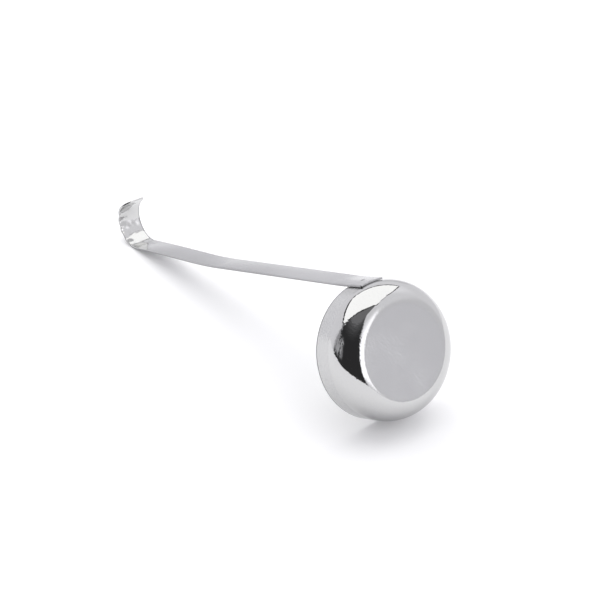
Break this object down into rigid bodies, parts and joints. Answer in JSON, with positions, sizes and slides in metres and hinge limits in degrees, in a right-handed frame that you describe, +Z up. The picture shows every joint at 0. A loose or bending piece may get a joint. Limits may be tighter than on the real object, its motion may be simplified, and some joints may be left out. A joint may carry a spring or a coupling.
{
  "type": "candle making wax ladle",
  "caption": "Small drawn metal bowl with a flat strip handle spot welded to its wall and curled into a hanging hook, for dipping and pouring melted wax.",
  "frame": {"origin": "centre of the bounding box's underside, on the table that the ladle lies on", "axes": "+Z up from the table; the handle runs towards -X and the bowl's flat base looks along +X, tilted up; the plane y = 0 is the ladle's mirror plane"},
  "size_m": [0.1852, 0.05, 0.0502],
  "materials": {
    "polished_bowl": "polished",
    "satin_strip": "satin",
    "weld_metal": "satin"
  },
  "bodies": {
    "root": {"bowl": "polished_bowl", "handle_strap": "satin_strip", "weld_nugget": "weld_metal"}
  },
  "joints": []
}
